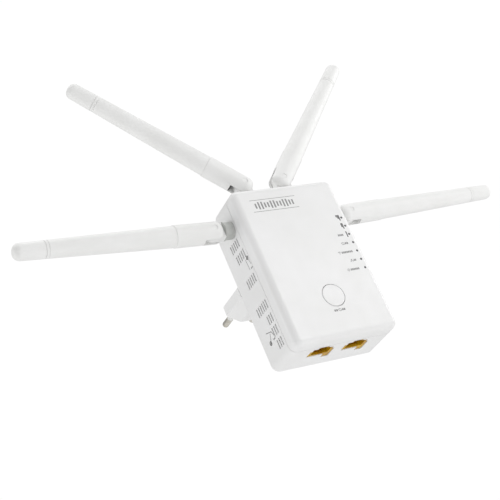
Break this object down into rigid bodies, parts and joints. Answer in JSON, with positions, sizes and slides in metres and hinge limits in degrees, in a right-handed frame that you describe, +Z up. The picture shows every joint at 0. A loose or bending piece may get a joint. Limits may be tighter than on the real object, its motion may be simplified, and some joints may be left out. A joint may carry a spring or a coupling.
{
  "type": "wifi range extender",
  "caption": "Plug-in wireless range extender: slim upright case with hinged antennas, a round push button, status lights, side vents and network sockets underneath.",
  "frame": {"origin": "midway between the two mains pins, on the end face of the plug", "axes": "+Z up, +X to the right seen from the front, +Y out of the back along the mains pins; the front face looks towards -Y"},
  "size_m": [0.3304, 0.0847, 0.2014],
  "materials": {
    "shell_white": "satin gloss",
    "antenna_white": "satin",
    "nickel": "bright nickel",
    "brass": "bright",
    "sleeve_white": "matt",
    "screw_steel": "zinc plated",
    "label_film": "satin film",
    "clear_guide": "clear acrylic seen dark",
    "led_body": "gloss",
    "jack_amber": "gloss",
    "gold_contact": "gold plated",
    "tin_plate": "tin plate",
    "sink_aluminium": "anodised",
    "board_green": "solder mask",
    "sheet_film": "film",
    "fuse_body": "glazed",
    "capacitor_sleeve": "shrink sleeve",
    "transformer_tape": "tape",
    "ferrite": "ferrite",
    "lead_jacket": "coaxial lead",
    "joint_grey": "matt",
    "component_black": "moulded"
  },
  "bodies": {
    "case": {"antenna_leads": "lead_jacket", "board_header": "component_black", "bridge_rectifier": "component_black", "case_screws": "screw_steel", "electrolytic_capacitors": "capacitor_sleeve", "front_cover": "shell_white", "fuse": "fuse_body", "heat_sink": "sink_aluminium", "input_choke": "ferrite", "insulation_sheet": "sheet_film", "lan_contacts": "gold_contact", "lan_magnetics": "component_black", "lan_socket_left": "jack_amber", "lan_socket_right": "jack_amber", "light_guide": "clear_guide", "main_board": "board_green", "mains_transformer": "transformer_tape", "memory_chips": "component_black", "pin_contacts": "brass", "pin_sleeves": "sleeve_white", "plug_body": "shell_white", "plug_pin_left": "nickel", "plug_pin_right": "nickel", "power_board": "board_green", "power_controller": "component_black", "processor": "component_black", "radio_chips": "component_black", "rating_label": "label_film", "rear_housing": "shell_white", "reset_switch": "component_black", "rf_connectors": "brass", "shield_can": "tin_plate", "status_leds": "led_body", "wps_switch": "component_black"},
    "wps_button": {"wps_button": "shell_white"},
    "reset_plunger": {"reset_plunger": "component_black"},
    "socket_top_left": {"antenna_top_left_socket": "joint_grey"},
    "antenna_top_left": {"antenna_top_left_pin": "antenna_white", "antenna_top_left_knuckle": "antenna_white", "antenna_top_left_sleeve": "antenna_white", "antenna_top_left_cap": "antenna_white", "antenna_top_left_radiator": "brass"},
    "socket_top_right": {"antenna_top_right_socket": "joint_grey"},
    "antenna_top_right": {"antenna_top_right_pin": "antenna_white", "antenna_top_right_knuckle": "antenna_white", "antenna_top_right_sleeve": "antenna_white", "antenna_top_right_cap": "antenna_white", "antenna_top_right_radiator": "brass"},
    "socket_side_left": {"antenna_side_left_socket": "joint_grey"},
    "antenna_side_left": {"antenna_side_left_pin": "antenna_white", "antenna_side_left_knuckle": "antenna_white", "antenna_side_left_sleeve": "antenna_white", "antenna_side_left_cap": "antenna_white", "antenna_side_left_radiator": "brass"},
    "socket_side_right": {"antenna_side_right_socket": "joint_grey"},
    "antenna_side_right": {"antenna_side_right_pin": "antenna_white", "antenna_side_right_knuckle": "antenna_white", "antenna_side_right_sleeve": "antenna_white", "antenna_side_right_cap": "antenna_white", "antenna_side_right_radiator": "brass"}
  },
  "joints": [
    {"name": "wps_press", "type": "slide", "parent": "case", "child": "wps_button", "axis": [0, 1, 0], "range_m": [0, 0.0005], "stiffness_N_per_m": 400},
    {"name": "reset_press", "type": "slide", "parent": "case", "child": "reset_plunger", "axis": [1, 0, 0], "range_m": [0, 0.0003], "stiffness_N_per_m": 200},
    {"name": "top_left_swivel", "type": "hinge", "parent": "case", "child": "socket_top_left", "pos_m": [-0.0019, -0.0476, 0.045], "axis": [0, 0, 1], "range_deg": [-90, 90]},
    {"name": "top_right_swivel", "type": "hinge", "parent": "case", "child": "socket_top_right", "pos_m": [0.0259, -0.0476, 0.045], "axis": [0, 0, 1], "range_deg": [-90, 90]},
    {"name": "side_left_swivel", "type": "hinge", "parent": "case", "child": "socket_side_left", "pos_m": [-0.023, -0.0502, 0.0273], "axis": [-1, 0, 0], "range_deg": [-90, 90]},
    {"name": "side_right_swivel", "type": "hinge", "parent": "case", "child": "socket_side_right", "pos_m": [0.047, -0.0502, 0.0273], "axis": [1, 0, 0], "range_deg": [-90, 90]},
    {"name": "top_left_tilt", "type": "hinge", "parent": "socket_top_left", "child": "antenna_top_left", "pos_m": [-0.0019, -0.0476, 0.0579], "axis": [0, -1, 0], "range_deg": [-46.6, 43.4]},
    {"name": "top_right_tilt", "type": "hinge", "parent": "socket_top_right", "child": "antenna_top_right", "pos_m": [0.0259, -0.0476, 0.0579], "axis": [0, 1, 0], "range_deg": [-43.8, 46.2]},
    {"name": "side_left_tilt", "type": "hinge", "parent": "socket_side_left", "child": "antenna_side_left", "pos_m": [-0.0359, -0.0502, 0.0273], "axis": [0, -1, 0], "range_deg": [-2.8, 92.2]},
    {"name": "side_right_tilt", "type": "hinge", "parent": "socket_side_right", "child": "antenna_side_right", "pos_m": [0.0599, -0.0502, 0.0273], "axis": [0, 1, 0], "range_deg": [-3.5, 91.5]}
  ]
}
